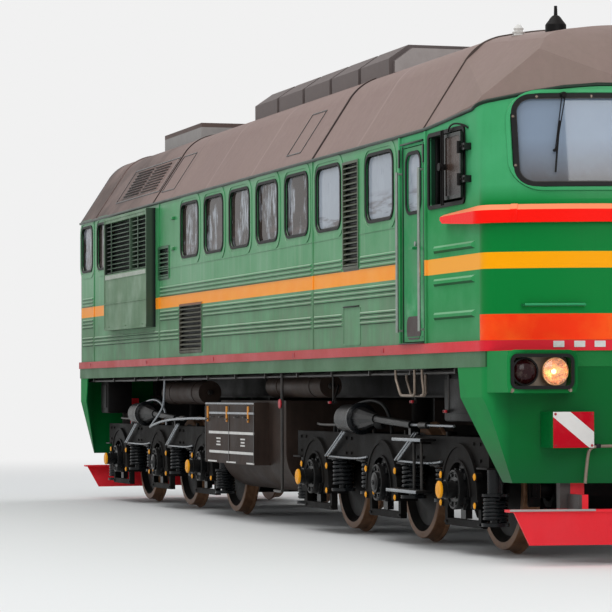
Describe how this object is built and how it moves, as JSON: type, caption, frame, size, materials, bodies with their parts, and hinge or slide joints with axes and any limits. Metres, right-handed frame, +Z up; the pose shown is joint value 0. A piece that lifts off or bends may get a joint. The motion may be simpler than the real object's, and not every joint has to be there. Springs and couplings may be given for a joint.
{
  "type": "diesel locomotive",
  "caption": "One section of a main-line diesel locomotive: a cab with a rounded nose, a boxy body with a domed roof, and two three-axle bogies under a deep frame.",
  "frame": {"origin": "on the centre line, half way between the coupler faces, at the lowest point of the wheel flanges; the rail top is 30 mm above it", "axes": "+X forward to the cab end, +Y to the left side, +Z up"},
  "size_m": [17.4, 3.18, 4.7349],
  "materials": {
    "body_paint": "faded green enamel",
    "roof_paint": "brown-grey weathered paint",
    "band_paint": "dull red enamel",
    "belt_paint": "orange-red enamel",
    "frame_paint": "dusty black paint",
    "bogie_iron": "oily castings under brake dust",
    "wheel_steel": "rolled steel, rusty sides and bright tread",
    "pane_glass": "toughened glass in rubber seals",
    "lamp_glass": "ribbed lamp glass over a reflector",
    "bellows_rubber": "folded rubberised cloth",
    "rail_steel": "worn steel tube",
    "seat_cover": "black imitation leather",
    "cab_trim": "pale grey-green enamel"
  },
  "bodies": {
    "body": {"underframe": "frame_paint", "sole_band": "band_paint", "side_wall_right": "body_paint", "side_wall_left": "body_paint", "rear_wall": "body_paint", "cab_walls": "body_paint", "cab_belt": "belt_paint", "roof_cab": "roof_paint", "roof_front": "roof_paint", "roof_middle": "roof_paint", "roof_rear": "roof_paint", "roof_hatches": "roof_paint", "fan_housing": "roof_paint", "radiator_shutters": "body_paint", "side_windows": "pane_glass", "windscreens": "pane_glass", "gangway": "bellows_rubber", "skirt_front": "body_paint", "skirt_rear": "body_paint", "plough_front": "belt_paint", "plough_rear": "belt_paint", "coupler_front": "bogie_iron", "coupler_rear": "bogie_iron", "fuel_tank": "frame_paint", "air_reservoirs": "frame_paint", "engine": "frame_paint", "cab_bulkhead": "cab_trim", "cab_desk": "cab_trim", "cab_seats": "seat_cover", "headlight": "lamp_glass", "lamps": "lamp_glass", "handrails": "rail_steel", "roof_gear": "frame_paint", "wind_deflectors": "rail_steel"},
    "fan_rotor": {"fan_rotor": "frame_paint"},
    "cab_door_right": {"cab_door_right": "body_paint"},
    "cab_door_left": {"cab_door_left": "body_paint"},
    "rear_door": {"rear_door": "body_paint"},
    "bogie_front": {"bogie_frame_front": "bogie_iron", "axle_boxes_front": "bogie_iron", "springs_front": "bogie_iron", "motors_front": "bogie_iron", "brake_gear_front": "bogie_iron"},
    "wheelset_1": {"wheelset_1": "wheel_steel"},
    "wheelset_2": {"wheelset_2": "wheel_steel"},
    "wheelset_3": {"wheelset_3": "wheel_steel"},
    "bogie_rear": {"bogie_frame_rear": "bogie_iron", "axle_boxes_rear": "bogie_iron", "springs_rear": "bogie_iron", "motors_rear": "bogie_iron", "brake_gear_rear": "bogie_iron"},
    "wheelset_4": {"wheelset_4": "wheel_steel"},
    "wheelset_5": {"wheelset_5": "wheel_steel"},
    "wheelset_6": {"wheelset_6": "wheel_steel"}
  },
  "joints": [
    {"name": "bogie_front_swivel", "type": "hinge", "parent": "body", "child": "bogie_front", "pos_m": [4.228, 0, 1.1], "axis": [0, 0, 1], "range_deg": [-2.5, 2.5]},
    {"name": "wheelset_1_spin", "type": "hinge", "parent": "bogie_front", "child": "wheelset_1", "pos_m": [6.328, 0, 0.555], "axis": [0, 1, 0], "continuous": true},
    {"name": "wheelset_2_spin", "type": "hinge", "parent": "bogie_front", "child": "wheelset_2", "pos_m": [4.228, 0, 0.555], "axis": [0, 1, 0], "continuous": true},
    {"name": "wheelset_3_spin", "type": "hinge", "parent": "bogie_front", "child": "wheelset_3", "pos_m": [2.128, 0, 0.555], "axis": [0, 1, 0], "continuous": true},
    {"name": "bogie_rear_swivel", "type": "hinge", "parent": "body", "child": "bogie_rear", "pos_m": [-4.372, 0, 1.1], "axis": [0, 0, 1], "range_deg": [-2.5, 2.5]},
    {"name": "wheelset_4_spin", "type": "hinge", "parent": "bogie_rear", "child": "wheelset_4", "pos_m": [-2.272, 0, 0.555], "axis": [0, 1, 0], "continuous": true},
    {"name": "wheelset_5_spin", "type": "hinge", "parent": "bogie_rear", "child": "wheelset_5", "pos_m": [-4.372, 0, 0.555], "axis": [0, 1, 0], "continuous": true},
    {"name": "wheelset_6_spin", "type": "hinge", "parent": "bogie_rear", "child": "wheelset_6", "pos_m": [-6.472, 0, 0.555], "axis": [0, 1, 0], "continuous": true},
    {"name": "cab_door_right_swing", "type": "hinge", "parent": "body", "child": "cab_door_right", "pos_m": [5.572, -1.425, 2.6], "axis": [0, 0, 1], "range_deg": [0, 90]},
    {"name": "cab_door_left_swing", "type": "hinge", "parent": "body", "child": "cab_door_left", "pos_m": [5.572, 1.425, 2.6], "axis": [0, 0, -1], "range_deg": [0, 90]},
    {"name": "rear_door_swing", "type": "hinge", "parent": "body", "child": "rear_door", "pos_m": [-7.73, 0.322, 2.7], "axis": [0, 0, 1], "range_deg": [0, 90]},
    {"name": "fan_spin", "type": "hinge", "parent": "body", "child": "fan_rotor", "pos_m": [-5.315, 0, 4.33], "axis": [0, 0, 1], "continuous": true}
  ]
}
